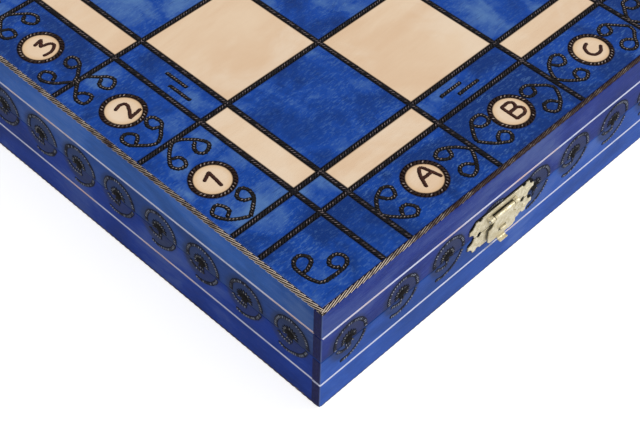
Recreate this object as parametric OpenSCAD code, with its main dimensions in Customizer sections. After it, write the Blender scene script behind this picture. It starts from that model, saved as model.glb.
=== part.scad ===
// Folding chessboard that closes into a shallow case.
// Each half is a panel let into a frame of four walls. The halves fold on two butt hinges
// along the back and are held shut by two hasp clasps on the front.
// The closed case lies on the playing face of its lower half, with +Z up, the files along X
// and the clasps towards -Y. The origin is the middle of the footprint, at the underside.

/* [Playing field] */
// Side of one square, from burnt line to burnt line
square = 48.5; // [36:0.5:60]
// Width of the narrow band round the squares
band_w = 13.6; // [10:0.1:24]
// Width of the lettered border outside the band
border_w = 31.9; // [26:0.1:44]

/* [Frame] */
// Height of one half, from its rim to its playing face
half_h = 27.9; // [24:0.1:40]
// Thickness of the walls
wall_t = 8; // [7.5:0.5:12]
// Thickness of the plywood panel
panel_t = 4; // [3:0.5:6]
// Wood left outside the panel, along the top of each wall
lip_w = 1.9; // [1.8:0.1:3]
// Wood left outside the side walls, where the long walls are rabbeted
corner_lip = 4; // [3:0.5:6]
// Radius of the rounded arris round the playing face
edge_r = 1.7; // [0.4:0.1:1.7]
// Radius of the arrises at the rims and upright corners
soft_r = 0.5; // [0.2:0.1:1]

/* [Burnt lines] */
// Width of the burnt grid lines
line_w = 2.4; // [1.2:0.1:4]
// Depth to which the lines are burnt
line_d = 0.6; // [0.2:0.1:1.2]
// Radius of the pale disc that carries a letter or a number
disc_r = 7.2; // [5:0.1:8]
// Width of the burnt ring round a disc
ring_w = 1.9; // [0.8:0.1:2.4]
// Distance of a lettered disc's middle from the front edge
letter_inset = 17; // [12:0.5:20]
// Distance of a numbered disc's middle from the side edge
number_inset = 15.5; // [12:0.5:20]
// Length of one dash in the plain band cells
dash_l = 11; // [6:0.5:14]
// Width of one dash
dash_w = 1.4; // [0.6:0.1:2]
// Distance between the two dashes, across the band
dash_gap = 3.8; // [3:0.1:6]
// Stagger of the two dashes, along the band
dash_shift = 6; // [0:0.5:10]
// How far a pair of dashes lies off the middle of its cell, along the band
dash_offset = 4.5; // [0:0.5:7]

/* [Pale stripes] */
// Distance of the stripe's middle from the playing face
stripe_inset = 14.5; // [8:0.5:20]
// Width of the stripe
stripe_w = 1; // [0.6:0.1:3]
// Depth of the stripe's groove
stripe_d = 0.5; // [0.2:0.1:1.5]

/* [Butt hinges] */
// Distance from the end of the case to the middle of a hinge
hinge_inset = 95; // [50:1:120]
// Length of a hinge
hinge_l = 30; // [20:1:50]
// Reach of a leaf from the hinge axis
leaf_w = 6.8; // [6.2:0.1:7]
// Thickness of a leaf
leaf_t = 0.9; // [0.7:0.1:1.4]
// Number of knuckles in a hinge
knuckles = 5; // [3:2:7]
// Diameter of the hinge pin
hinge_pin_d = 2; // [1.4:0.1:2.4]
// Outer diameter of a hinge knuckle
knuckle_d = 4.4; // [3.8:0.1:4.8]
// Nails in each leaf
leaf_nails = 3; // [2:1:4]
// Length of a hinge nail
leaf_nail_l = 9; // [5:0.5:12]

/* [Clasps] */
// Distance from the end of the case to the middle of a clasp
clasp_inset = 96; // [50:1:120]
// Length of the clasp plates
plate_l = 37; // [35:0.5:50]
// Height of the upper plate
plate_h = 8; // [7.4:0.1:12]
// Height of the lower plate
catch_h = 7.8; // [7.6:0.1:12]
// Gap between the seam and the upper plate
plate_gap = 0.4; // [0.2:0.1:0.8]
// Gap between the seam and the lower plate
catch_gap = 0.2; // [0.2:0.1:0.8]
// Thickness of the sheet that the clasps are stamped from
sheet_t = 0.5; // [0.4:0.1:0.8]
// Diameter of the clasp pin
clasp_pin_d = 1; // [0.8:0.1:1.6]
// Height of the clasp pin above the seam
pin_rise = 4.3; // [3.8:0.1:4.9]
// Width of the rolled knuckle on the hasp
hasp_knuckle_w = 11; // [6:0.2:12]
// Width of each loop pressed out of the upper plate
loop_w = 2.4; // [1.6:0.2:4]
// Width of the hasp below its knuckle
hasp_w = 16; // [14:0.5:19]
// Distance of the hasp's face from the wall
hasp_face = 1.7; // [1.6:0.1:2.4]
// Height of the hasp's shoulders above the seam
shoulder_rise = 1.5; // [0:0.1:1.6]
// Width of the finger tab
tab_w = 4.4; // [4:0.2:8]
// Reach of the finger tab, beyond the hasp's face
tab_reach = 1.7; // [1.5:0.1:5]
// Metal left below the slot, down to the bend of the finger tab
hasp_nose = 3.6; // [2:0.1:5]
// Width of the hook that the hasp closes over
hook_w = 3.4; // [2:0.1:4]
// Distance of the hook below the seam
hook_drop = 3.8; // [1.4:0.1:4]
// How far the hook stands through the hasp
hook_stand = 1; // [0.6:0.1:1.4]
// Length of a clasp nail
clasp_nail_l = 5; // [3:0.5:6]

/* [Fits] */
// Gap between the rims of the closed halves
seam_gap = 0.2; // [0.1:0.05:0.4]
// Gap between the backs of the halves when they lie open
fold_gap = 0.2; // [0.1:0.05:0.4]
// Gap left for glue round a panel and in a corner joint
glue_gap = 0.1; // [0.05:0.05:0.2]
// Clearance of a pin in its knuckles, all round
pin_fit = 0.05; // [0.02:0.01:0.1]
// Clearance of a nail in its hole, all round
nail_fit = 0.05; // [0.02:0.01:0.1]
// Clearance of a leaf in its mortise
leaf_fit = 0.15; // [0.1:0.05:0.3]
// Running gap between neighbouring knuckles, and round a turning knuckle
turn_gap = 0.3; // [0.2:0.05:0.4]
// Clearance of the hook in the slot of the hasp
hook_fit = 0.4; // [0.3:0.05:0.6]

/* [Hidden] */
$fn = 48;
LEFT = -1;
RIGHT = 1;
over = 1;                // how far a cutter runs past what it cuts
sliver = 0.01;           // how far two cutters in line run into each other

// The case
files = 8;
ranks = 4;               // in one half
margin = band_w + border_w;
case_w = files * square + 2 * margin;
case_d = ranks * square + margin;
seam_z = half_h + seam_gap / 2;
rim_z = seam_z + seam_gap / 2;
top_z = rim_z + half_h;

// The hinges, in their own frame: the axis is the X axis and the leaves reach towards -Y
hinge_r = knuckle_d / 2;
hinge_out = fold_gap / 2 + hinge_r;
knuckle_pitch = hinge_l / knuckles;
leaf_nail_r = 0.6;
leaf_head_r = 1.2;
leaf_head_h = 0.5;
leaf_nail_y = -(hinge_r + turn_gap + leaf_w) / 2;

// The clasps, in their own frame: the origin lies on the seam, in the face of the front wall
curl_r = clasp_pin_d / 2 + pin_fit + sheet_t;
axis_out = curl_r + turn_gap;
clasp_out = hasp_face + tab_reach;
loops_w = hasp_knuckle_w + 2 * (turn_gap + loop_w);
plate_rise = plate_gap + plate_h / 2;
catch_drop = catch_gap + catch_h / 2;
neck_inset = 5.9;        // from the end of a plate to the notches in its edges
neck_r = 1.1;
hollow_r = 3;            // of the hollowed corners of a plate
shoulder_r = 2.4;        // of the hollows at the top of the hasp's body
foot_r = 1;              // of those at its bottom
hem = 0.4;               // from the hasp's body down to the bend of the tab
clasp_nail_inset = 4.5;  // from the end of a plate to its nail
clasp_nail_r = 0.5;
clasp_head_r = 1.2;
clasp_head_h = 0.5;
nose_h = 0.6;            // how far the hook's nose turns down
bend_r = 0.8;            // inside the bend of the finger tab

// The slot of the hasp ends where the hook's nose and back pass it as the hasp swings
hook_out = hasp_face + hook_stand;
face_off = hasp_face - axis_out;          // the hasp's two faces, from its axis
back_off = face_off - sheet_t;
nose_swing = norm([hook_out - axis_out, pin_rise + hook_drop + sheet_t + nose_h]);
slot_bottom = pin_rise - sqrt(pow(nose_swing + hook_fit, 2) - pow(max(back_off, 0), 2));
slot_top = pin_rise
    - sqrt(pow(pin_rise + hook_drop - hook_fit, 2) - pow(max(face_off, -back_off), 2));
bend_z = slot_bottom - hasp_nose;
tongue_l = hook_out - sheet_t + nose_h;   // of the hook before it is bent out of its plate

// The footprint is centred on the origin with the hardware counted in
shift_y = (clasp_out - hinge_out) / 2;
front_y = shift_y - case_d / 2;
back_y = shift_y + case_d / 2;
fold_y = back_y + fold_gap / 2;
field_y = front_y + margin;
field_x = files * square / 2;
hinge_x = case_w / 2 - hinge_inset;
clasp_x = case_w / 2 - clasp_inset;

STAINED = [0.13, 0.25, 0.58];
STAINED_WALL = [0.17, 0.28, 0.60];
BRASS = [0.78, 0.71, 0.50];
STEEL = [0.66, 0.63, 0.58];

// The lower half is the upper one given a half turn about the seam
module turned_under() {
    translate([0, 0, 2 * seam_z]) rotate([0, 180, 0]) children();
}

// A section run along X or along Y, with its first axis towards +Y or +X and its second up
module run_x(length) {
    translate([-length / 2, 0, 0]) rotate([90, 0, 90]) linear_extrude(length) children();
}

module run_y(length) {
    translate([0, length / 2, 0]) rotate([90, 0, 0]) linear_extrude(length) children();
}

// A flat outline on the front wall, given its thickness outwards
module stamped(thickness) {
    rotate([90, 0, 0]) linear_extrude(thickness) children();
}

module rod_x(radius, length) {
    rotate([0, 90, 0]) cylinder(r = radius, h = length, center = true);
}

// What a rounded arris takes off the corner at the origin
module arris(r) {
    difference() {
        translate([-over, -over]) square(r + over);
        translate([r, r]) circle(r);
    }
}

// What is cut from the outer faces all round: the arrises and the groove of the pale stripe
module face_cuts() {
    translate([0, half_h]) mirror([0, 1]) arris(edge_r);
    arris(soft_r);
    translate([-over, half_h - stripe_inset - stripe_w / 2]) square([over + stripe_d, stripe_w]);
}

module case_cuts() {
    translate([0, shift_y, rim_z])
        for (turn = [0, 1]) mirror([turn, 0, 0]) mirror([0, turn, 0]) {
            translate([0, -case_d / 2, 0]) run_x(case_w + 2 * over) face_cuts();
            translate([-case_w / 2, 0, 0]) run_y(case_d + 2 * over) face_cuts();
            for (end = [0, 1]) mirror([0, end, 0])
                translate([-case_w / 2, -case_d / 2, -over])
                    linear_extrude(half_h + 2 * over) arris(soft_r);
        }
}

// The space that the panel fills in the frame, less a gap all round
module panel_space(gap) {
    translate([0, shift_y, top_z - (panel_t - over) / 2])
        cube([case_w - 2 * (lip_w + gap), case_d - 2 * (lip_w + gap), panel_t + over], center = true);
}

// A long wall along the front, rabbeted at its ends for the side walls
module long_wall() {
    difference() {
        run_x(case_w) square([wall_t, half_h]);
        for (end = [0, 1]) mirror([end, 0, 0])
            translate([case_w / 2 - wall_t - glue_gap, corner_lip, -over])
                cube([wall_t + glue_gap + over, wall_t, half_h + 2 * over]);
    }
}

module front_wall(nail_rise) {
    difference() {
        translate([0, front_y, rim_z]) long_wall();
        panel_space(0);
        case_cuts();
        for (side = [LEFT, RIGHT]) at_clasp(side) clasp_nails(nail_rise, nail_fit);
    }
}

module back_wall() {
    difference() {
        translate([0, back_y, rim_z]) mirror([0, 1, 0]) long_wall();
        panel_space(0);
        case_cuts();
        for (side = [LEFT, RIGHT]) at_hinge(side) {
            mortise();
            leaf_nails(nail_fit);
        }
    }
}

module side_wall(side) {
    difference() {
        mirror([side == RIGHT ? 1 : 0, 0, 0]) translate([-case_w / 2, shift_y, rim_z])
            run_y(case_d - 2 * (corner_lip + glue_gap)) square([wall_t, half_h]);
        panel_space(0);
        case_cuts();
    }
}

// The burnt lines: the grid runs out over the band and the border to the edge of the panel
module groove(length, width) {
    translate([0, 0, top_z - line_d + over / 2 + line_d / 2])
        cube([length, width, line_d + over], center = true);
}

module grid_lines() {
    for (y = [-band_w, for (rank = [0:ranks - 1]) rank * square])
        translate([0, field_y + y, 0]) groove(case_w, line_w);
    for (x = [for (file = [0:files]) file * square - field_x, -field_x - band_w, field_x + band_w])
        translate([x, shift_y, 0]) rotate(90) groove(case_d, line_w);
}

module ring() {
    translate([0, 0, top_z - line_d]) difference() {
        cylinder(r = disc_r + ring_w, h = line_d + over);
        translate([0, 0, -over]) cylinder(r = disc_r, h = line_d + 3 * over);
    }
}

module dashes(lean) {
    for (side = [-1, 1])
        translate([side * dash_shift / 2 - dash_offset, side * lean * dash_gap / 2, 0])
            groove(dash_l, dash_w);
}

// Rings and dashes along one edge. A cell beside a dark square has a plain pale band,
// and a cell beside a light square has the two dashes. They lean the same way on every edge,
// so lean is 1 along an edge that is laid out mirrored, and -1 along the others.
module edge_marks(cells, first_dashed, disc_inset, lean) {
    for (cell = [0:cells - 1]) translate([(cell + 0.5) * square, 0, 0]) {
        translate([0, disc_inset - margin, 0]) ring();
        if (cell % 2 == first_dashed) translate([0, -band_w / 2, 0]) dashes(lean);
    }
}

module panel() {
    difference() {
        intersection() {
            panel_space(glue_gap);
            translate([0, shift_y, top_z - panel_t / 2])
                cube([case_w, case_d, panel_t], center = true);
        }
        grid_lines();
        translate([-field_x, field_y, 0]) {
            edge_marks(files, 1, letter_inset, -1);
            mirror([1, -1, 0]) edge_marks(ranks, 1, number_inset, 1);
        }
        translate([field_x, field_y, 0]) rotate(90) edge_marks(ranks, 0, number_inset, -1);
    }
}

module at_hinge(side) {
    translate([side * hinge_x, fold_y, seam_z]) children();
}

// Seat of a leaf in the rim, and the cove that its knuckles turn in
module mortise() {
    translate([-hinge_l / 2 - leaf_fit, -leaf_w - leaf_fit, -over])
        cube([hinge_l + 2 * leaf_fit, leaf_w + leaf_fit + over, over + seam_gap / 2 + leaf_t]);
    rod_x(hinge_r + turn_gap, hinge_l + 2 * turn_gap);
}

module knuckle(index) {
    start = index == 0 ? 0 : turn_gap / 2;
    end = index == knuckles - 1 ? 0 : turn_gap / 2;
    width = knuckle_pitch - start - end;
    translate([index * knuckle_pitch + start - hinge_l / 2, 0, 0]) {
        translate([width / 2, 0, 0]) rod_x(hinge_r, width);
        translate([0, -leaf_w, seam_gap / 2]) cube([width, leaf_w, leaf_t]);
    }
}

// The upper leaf of a hinge, or with first = 0 the shape of the lower one
module leaf(first) {
    difference() {
        union() {
            translate([-hinge_l / 2, -leaf_w, seam_gap / 2])
                cube([hinge_l, leaf_w - hinge_r - turn_gap, leaf_t]);
            for (index = [first:2:knuckles - 1]) knuckle(index);
        }
        rod_x(hinge_pin_d / 2 + pin_fit, hinge_l + 2 * over);
        leaf_nails(nail_fit);
    }
}

// Countersunk nails, flush with the leaf. With a fit they are the holes.
module leaf_nails(fit) {
    step = hinge_l / leaf_nails;
    for (index = [0:leaf_nails - 1])
        translate([(index + 0.5) * step - hinge_l / 2, leaf_nail_y, seam_gap / 2]) {
            cylinder(r1 = leaf_head_r + fit, r2 = leaf_nail_r + fit, h = leaf_head_h);
            cylinder(r = leaf_nail_r + fit, h = leaf_nail_l + fit);
            if (fit > 0) translate([0, 0, -over]) cylinder(r = leaf_head_r + fit, h = over + sliver);
        }
}

module hinge_pin() {
    rod_x(hinge_pin_d / 2, hinge_l);
}

module at_clasp(side) {
    translate([side * clasp_x, front_y, seam_z]) children();
}

// Outline of a clasp plate: its ends are notched at the neck and hollowed at the corners
module scalloped_plate(height) {
    difference() {
        square([plate_l, height], center = true);
        for (x = [-1, 1], y = [-1, 1]) {
            translate([x * (plate_l / 2 - neck_inset), y * height / 2]) circle(neck_r);
            translate([x * plate_l / 2, y * height / 2]) circle(hollow_r);
        }
    }
}

// Round-headed nails through both ends of a plate. With a fit they are the holes.
module clasp_nails(rise, fit) {
    x = plate_l / 2 - clasp_nail_inset;
    for (side = [-1, 1]) translate([side * x, -sheet_t, rise]) rotate([90, 0, 0]) {
        translate([0, 0, -clasp_nail_l - fit])
            cylinder(r = clasp_nail_r + fit, h = clasp_nail_l + fit + (fit > 0 ? over : 0));
        if (fit == 0) rotate_extrude() intersection() {
            bulge = (pow(clasp_head_r, 2) + pow(clasp_head_h, 2)) / (2 * clasp_head_h);
            translate([0, clasp_head_h - bulge]) circle(bulge);
            square([clasp_head_r, clasp_head_h]);
        }
    }
}

// A loop of the upper plate from the side: pressed out of the sheet and over the pin
module loop_side() {
    translate([axis_out, pin_rise]) circle(curl_r);
    translate([0, pin_rise - curl_r]) square([axis_out, 2 * curl_r]);
}

// Upper plate: two loops hold the pin, and the hasp's knuckle turns in the window between them
module clasp_plate() {
    difference() {
        union() {
            stamped(sheet_t) translate([0, plate_rise]) scalloped_plate(plate_h);
            mirror([0, 1, 0]) run_x(loops_w) loop_side();
        }
        translate([0, -axis_out, pin_rise]) {
            cube([hasp_knuckle_w + 2 * turn_gap, 2 * (axis_out + over), 2 * (curl_r + turn_gap)],
                 center = true);
            rod_x(clasp_pin_d / 2 + pin_fit, loops_w + 2 * over);
        }
        clasp_nails(plate_rise, nail_fit);
    }
}

// The hasp from the side: rolled round the pin, down in front of the catch and out as a tab
module hasp_side() {
    translate([axis_out, pin_rise]) circle(curl_r);
    translate([hasp_face - sheet_t, bend_z]) square([sheet_t, pin_rise - bend_z]);
    translate([hasp_face + bend_r, bend_z]) {
        reach = bend_r + sheet_t;
        difference() {
            circle(reach);
            circle(bend_r);
            translate([-reach - over, 0]) square(2 * (reach + over));
            translate([0, -reach - over]) square([reach + over, 2 * (reach + over)]);
        }
        translate([0, -reach]) square([tab_reach - bend_r, sheet_t]);
    }
}

// The hasp from the front: a neck below its knuckle, a wider body with hollowed corners, the tab
module hasp_front() {
    body_z = bend_z + hem;
    tab_z = bend_z - bend_r - sheet_t - over;
    translate([-hasp_knuckle_w / 2, body_z])
        square([hasp_knuckle_w, pin_rise + curl_r + over - body_z]);
    difference() {
        translate([-hasp_w / 2, body_z]) square([hasp_w, shoulder_rise - body_z]);
        for (side = [-1, 1]) {
            translate([side * hasp_w / 2, body_z]) circle(foot_r);
            translate([side * hasp_w / 2, shoulder_rise]) circle(shoulder_r);
        }
    }
    translate([-tab_w / 2, tab_z]) square([tab_w, body_z - tab_z + over]);
}

module hasp() {
    slot_w = hook_w + 2 * hook_fit;
    difference() {
        intersection() {
            mirror([0, 1, 0]) run_x(hasp_w + 2 * over) hasp_side();
            stamped(clasp_out + over) hasp_front();
        }
        translate([0, -axis_out, pin_rise]) rod_x(clasp_pin_d / 2 + pin_fit, hasp_w);
        translate([-slot_w / 2, -hasp_face - over, slot_bottom])
            cube([slot_w, sheet_t + 2 * over, slot_top - slot_bottom]);
    }
}

module clasp_pin() {
    translate([0, -axis_out, pin_rise]) {
        rod_x(clasp_pin_d / 2, loops_w);
        for (side = [-1, 1]) translate([side * loops_w / 2, 0, 0]) sphere(clasp_pin_d / 2);
    }
}

// The hook from the side: a tongue of the lower plate, bent out, with its nose turned down
module hook_side() {
    difference() {
        union() {
            translate([0, -hook_drop - sheet_t]) square([hook_out, sheet_t]);
            translate([hook_out - sheet_t, -hook_drop - sheet_t - nose_h])
                square([sheet_t, sheet_t + nose_h]);
        }
        translate([hook_out, -hook_drop]) rotate(180) arris(sheet_t);
    }
}

module clasp_catch() {
    difference() {
        stamped(sheet_t) difference() {
            translate([0, -catch_drop]) scalloped_plate(catch_h);
            translate([-hook_w / 2, -hook_drop - sheet_t - tongue_l]) square([hook_w, tongue_l]);
        }
        clasp_nails(-catch_drop, nail_fit);
    }
    mirror([0, 1, 0]) run_x(hook_w) hook_side();
}

module lower_panel() { color(STAINED) turned_under() panel(); }
module lower_front_wall() { color(STAINED_WALL) turned_under() front_wall(catch_drop); }
module lower_back_wall() { color(STAINED_WALL) turned_under() back_wall(); }
module lower_left_wall() { color(STAINED_WALL) turned_under() side_wall(RIGHT); }
module lower_right_wall() { color(STAINED_WALL) turned_under() side_wall(LEFT); }

module upper_panel() { color(STAINED) panel(); }
module upper_front_wall() { color(STAINED_WALL) front_wall(plate_rise); }
module upper_back_wall() { color(STAINED_WALL) back_wall(); }
module upper_left_wall() { color(STAINED_WALL) side_wall(LEFT); }
module upper_right_wall() { color(STAINED_WALL) side_wall(RIGHT); }

module hinge_lower_leaf(side) { color(BRASS) at_hinge(side) mirror([0, 0, 1]) leaf(0); }
module hinge_upper_leaf(side) { color(BRASS) at_hinge(side) leaf(1); }
module hinge_rod(side) { color(STEEL) at_hinge(side) hinge_pin(); }
module hinge_lower_nails(side) { color(BRASS) at_hinge(side) mirror([0, 0, 1]) leaf_nails(0); }
module hinge_upper_nails(side) { color(BRASS) at_hinge(side) leaf_nails(0); }

module plate(side) { color(BRASS) at_clasp(side) clasp_plate(); }
module plate_nails(side) { color(BRASS) at_clasp(side) clasp_nails(plate_rise, 0); }
module swinging_hasp(side) { color(BRASS) at_clasp(side) hasp(); }
module hasp_pin(side) { color(STEEL) at_clasp(side) clasp_pin(); }
module catch(side) { color(BRASS) at_clasp(side) clasp_catch(); }
module catch_nails(side) { color(BRASS) at_clasp(side) clasp_nails(-catch_drop, 0); }

lower_panel();
lower_front_wall();
lower_back_wall();
lower_left_wall();
lower_right_wall();
upper_panel();
upper_front_wall();
upper_back_wall();
upper_left_wall();
upper_right_wall();
hinge_lower_leaf(LEFT);  // hinge_left_lower_leaf
hinge_upper_leaf(LEFT);  // hinge_left_upper_leaf
hinge_rod(LEFT);  // hinge_left_pin
hinge_lower_nails(LEFT);  // hinge_left_lower_nails
hinge_upper_nails(LEFT);  // hinge_left_upper_nails
hinge_lower_leaf(RIGHT);  // hinge_right_lower_leaf
hinge_upper_leaf(RIGHT);  // hinge_right_upper_leaf
hinge_rod(RIGHT);  // hinge_right_pin
hinge_lower_nails(RIGHT);  // hinge_right_lower_nails
hinge_upper_nails(RIGHT);  // hinge_right_upper_nails
plate(LEFT);  // clasp_left_plate
plate_nails(LEFT);  // clasp_left_plate_nails
swinging_hasp(LEFT);  // clasp_left_hasp
hasp_pin(LEFT);  // clasp_left_pin
catch(LEFT);  // clasp_left_catch
catch_nails(LEFT);  // clasp_left_catch_nails
plate(RIGHT);  // clasp_right_plate
plate_nails(RIGHT);  // clasp_right_plate_nails
swinging_hasp(RIGHT);  // clasp_right_hasp
hasp_pin(RIGHT);  // clasp_right_pin
catch(RIGHT);  // clasp_right_catch
catch_nails(RIGHT);  // clasp_right_catch_nails
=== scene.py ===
import math
import random
from functools import partial

import bmesh
import bpy
from mathutils import Matrix, Vector


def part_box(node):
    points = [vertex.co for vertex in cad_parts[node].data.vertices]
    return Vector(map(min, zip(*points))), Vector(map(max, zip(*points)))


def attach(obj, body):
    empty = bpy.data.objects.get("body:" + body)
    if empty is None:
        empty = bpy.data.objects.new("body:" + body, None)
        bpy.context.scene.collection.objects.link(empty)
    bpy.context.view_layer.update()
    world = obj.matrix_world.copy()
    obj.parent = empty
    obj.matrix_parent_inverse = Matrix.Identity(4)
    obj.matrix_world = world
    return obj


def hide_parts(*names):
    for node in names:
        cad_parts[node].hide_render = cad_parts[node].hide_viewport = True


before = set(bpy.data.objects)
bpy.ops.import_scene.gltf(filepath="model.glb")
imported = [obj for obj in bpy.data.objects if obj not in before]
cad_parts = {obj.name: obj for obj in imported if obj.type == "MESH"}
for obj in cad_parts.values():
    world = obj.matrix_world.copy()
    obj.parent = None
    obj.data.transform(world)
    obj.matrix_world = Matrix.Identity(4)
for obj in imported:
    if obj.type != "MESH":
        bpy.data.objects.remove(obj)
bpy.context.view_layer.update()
print("frame loaded:", len(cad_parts), "nodes")

# The closed case in mm. The upper half is laid out, and the lower one is the same turned under.
mm = 0.001
wallLow, wallHigh = (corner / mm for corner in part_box("upper_front_wall"))
halfWidth, front, top = wallHigh.x, wallLow.y, wallHigh.z
back = (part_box("upper_back_wall")[1] / mm).y
panelEdge = (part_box("upper_panel")[0] / mm).y - front
seam, deep, middleY = top / 2, back - front, (front + back) / 2
square, band, border = 48.5, 13.6, 31.9
files = 8
ranks = 4
case = {"claspX": 143.5, "grooveWidth": 2.4, "discRadius": 7.2, "discEdge": 0.2, "ringWidth": 1.9,
        "letterInset": 17.0, "numberInset": 15.5, "stripeInset": 14.5, "stripeWidth": 1.0,
        "cornerLip": 4.0, "seamGap": 0.2}
fieldLeft = -files * square / 2
fieldFront = front + band + border
letterLine = front + case["letterInset"]
numberLine = halfWidth - case["numberInset"]
ringMiddle = case["discRadius"] + case["ringWidth"] / 2
turnUnder = Matrix.Translation((0, 0, top)) @ Matrix.Rotation(math.pi, 4, "Y")
halves = {"upper": Matrix.Identity(4), "lower": turnUnder}
chance = random.Random(48)
# In metres: corners this near are one, edges this short go, and a plate's back is flat to this
closeBy = {"merge": 1e-6, "edge": 1e-7, "flat": 1e-5}


def jitter(reach):
    return chance.uniform(-reach, reach)


# Node helpers. They add to the tree in hand, which makeGroup, makeMaterial and clearTree set.
inHand = {"tree": None}
black = (0, 0, 0, 1)
white = (1, 1, 1, 1)


def linear(colour):
    parts = [c / 255 / 12.92 if c <= 10 else ((c / 255 + 0.055) / 1.055) ** 2.4 for c in colour]
    return (*parts, 1.0)


def feed(socket, value):
    # A colour of three numbers is one of the screen's, from 0 to 255
    if isinstance(value, bpy.types.NodeSocket):
        inHand["tree"].links.new(value, socket)
    elif socket.type == "RGBA" and len(value) == 3:
        socket.default_value = linear(value)
    else:
        socket.default_value = value


def feedAll(sockets, values):
    for label, value in values.items():
        feed(sockets[label], value)


def add(kind, inputs=None, **settings):
    made = inHand["tree"].nodes.new(kind)
    for key, value in settings.items():
        setattr(made, key, value)
    feedAll(made.inputs, inputs or {})
    return made


def calc(operation, *values):
    return add("ShaderNodeMath", dict(enumerate(values)), operation=operation).outputs[0]


plus, minus, times = (partial(calc, kind) for kind in ("ADD", "SUBTRACT", "MULTIPLY"))
absolute, most, below, above = (partial(calc, kind)
                                for kind in ("ABSOLUTE", "MAXIMUM", "LESS_THAN", "GREATER_THAN"))


def least(*values):
    lowest = values[0]
    for value in values[1:]:
        lowest = calc("MINIMUM", lowest, value)
    return lowest


def radiusOf(a, b):
    return calc("SQRT", plus(times(a, a), times(b, b)))


def spread(value, low, high, outLow=0.0, outHigh=1.0, kind="SMOOTHSTEP"):
    sockets = {"Value": value, "From Min": low, "From Max": high, "To Min": outLow, "To Max": outHigh}
    return add("ShaderNodeMapRange", sockets, interpolation_type=kind).outputs["Result"]


def scaled(vector, amounts):
    return add("ShaderNodeVectorMath", {0: vector, 1: amounts}, operation="MULTIPLY").outputs[0]


def noise(vector, scale, detail=2.0, roughness=0.5, distortion=0.0):
    sockets = {"Vector": vector, "Scale": scale, "Detail": detail,
               "Roughness": roughness, "Distortion": distortion}
    return add("ShaderNodeTexNoise", sockets).outputs["Fac"]


def mixed(factor, a, b):
    return add("ShaderNodeMix", {0: factor, 6: a, 7: b}, data_type="RGBA").outputs[2]


def layered(ground, *layers):
    # Each layer is (how much of it shows, its colour)
    for share, colour in layers:
        ground = mixed(share, ground, colour)
    return ground


def axesOf(vector):
    return add("ShaderNodeSeparateXYZ", {0: vector}).outputs


def objectPlace():
    return add("ShaderNodeTexCoord").outputs["Object"]


def attribute(name):
    return add("ShaderNodeAttribute", attribute_name=name).outputs["Fac"]


def makeGroup(name, inputs, fill):
    # Fill takes the inputs' sockets and gives the outputs. None is for a vector, and a tuple for a colour.
    group = bpy.data.node_groups.new(name, "ShaderNodeTree")
    inHand["tree"] = group

    def addSocket(label, kind, way):
        return group.interface.new_socket(name=label, in_out=way, socket_type="NodeSocket" + kind)

    for label, value in inputs.items():
        if value is None:
            addSocket(label, "Vector", "INPUT")
        else:
            kind = "Color" if isinstance(value, tuple) else "Float"
            addSocket(label, kind, "INPUT").default_value = value
    results = fill(add("NodeGroupInput").outputs)
    for label in results:
        addSocket(label, "Color" if label == "Color" else "Float", "OUTPUT")
    feedAll(add("NodeGroupOutput").inputs, results)
    return group


def placeGroup(group, inputs):
    return add("ShaderNodeGroup", inputs, node_tree=group).outputs


def principled(material):
    return material.node_tree.nodes["Principled BSDF"].inputs


def makeMaterial(name, roughness, specular=0.5, metallic=0.0):
    material = bpy.data.materials.new(name)
    material.use_nodes = True
    inHand["tree"] = material.node_tree
    feedAll(principled(material), {"Roughness": roughness, "Specular IOR Level": specular,
                                   "Metallic": metallic})
    return material


def coat(material, colour, roughness, height, depth):
    # Depth is that of the relief in mm
    bump = add("ShaderNodeBump", {"Height": height, "Distance": depth * mm, "Strength": 1.0})
    feedAll(principled(material), {"Base Color": colour, "Roughness": roughness,
                                   "Normal": bump.outputs["Normal"]})
    return material


# Shared effects. Wood has four layers: how far each is stretched along the grain, its noise's detail,
# roughness and distortion, and the range of the noise that is used.
woodLayers = {
    "Clouds": (0.7, 4.0, 0.6, 0.5, 0.3, 0.7),
    "Figure": (0.25, 4.0, 0.6, 0.8, 0.32, 0.68),
    "Fibre": (0.13, 3.0, 0.65, 0.0, 0.3, 0.7),
    "Pores": (0.05, 1.0, 0.5, 0.0, 0.62, 0.72),
}
wood = {"cloudScale": 30.0, "poreScale": 1500.0, "relief": 0.04}
# Stain lies in clouds, takes less on some fibres and darkens in the pores
stainTake = {"clouds": 0.65, "figure": 0.35, "pores": 0.3, "deep": (0.05, 0.5), "thin": (0.5, 1.1),
             "fibres": (0.55, 1.0), "streaks": (0.14, 0.46)}


def fillWoodFigure(given):
    scales = {"Clouds": wood["cloudScale"], "Figure": given["Figure Scale"],
              "Fibre": given["Fibre Scale"], "Pores": wood["poreScale"]}
    made = {}
    for name, (stretch, detail, roughness, distortion, low, high) in woodLayers.items():
        grain = scaled(given["Vector"], (stretch, 1, 1))
        made[name] = spread(noise(grain, scales[name], detail, roughness, distortion), low, high)
    return made


def fillStain(given):
    figure = times(given["Figure"], stainTake["figure"])
    depth = plus(calc("MULTIPLY_ADD", given["Clouds"], stainTake["clouds"], figure), given["Tone"])
    deep = mixed(given["Deep Share"], black, given["Stain"])
    thin = mixed(given["Pale Share"], given["Stain"], given["Pale"])
    lower = mixed(spread(depth, *stainTake["deep"], kind="LINEAR"), deep, given["Stain"])
    streaks = times(spread(given["Fibre"], *stainTake["fibres"]),
                    spread(given["Clouds"], 0.0, 1.0, *stainTake["streaks"]))
    return {"Color": layered(lower, (spread(depth, *stainTake["thin"], kind="LINEAR"), thin),
                             (streaks, thin), (times(given["Pores"], stainTake["pores"]), deep)),
            "Height": minus(given["Fibre"], given["Pores"])}


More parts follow.
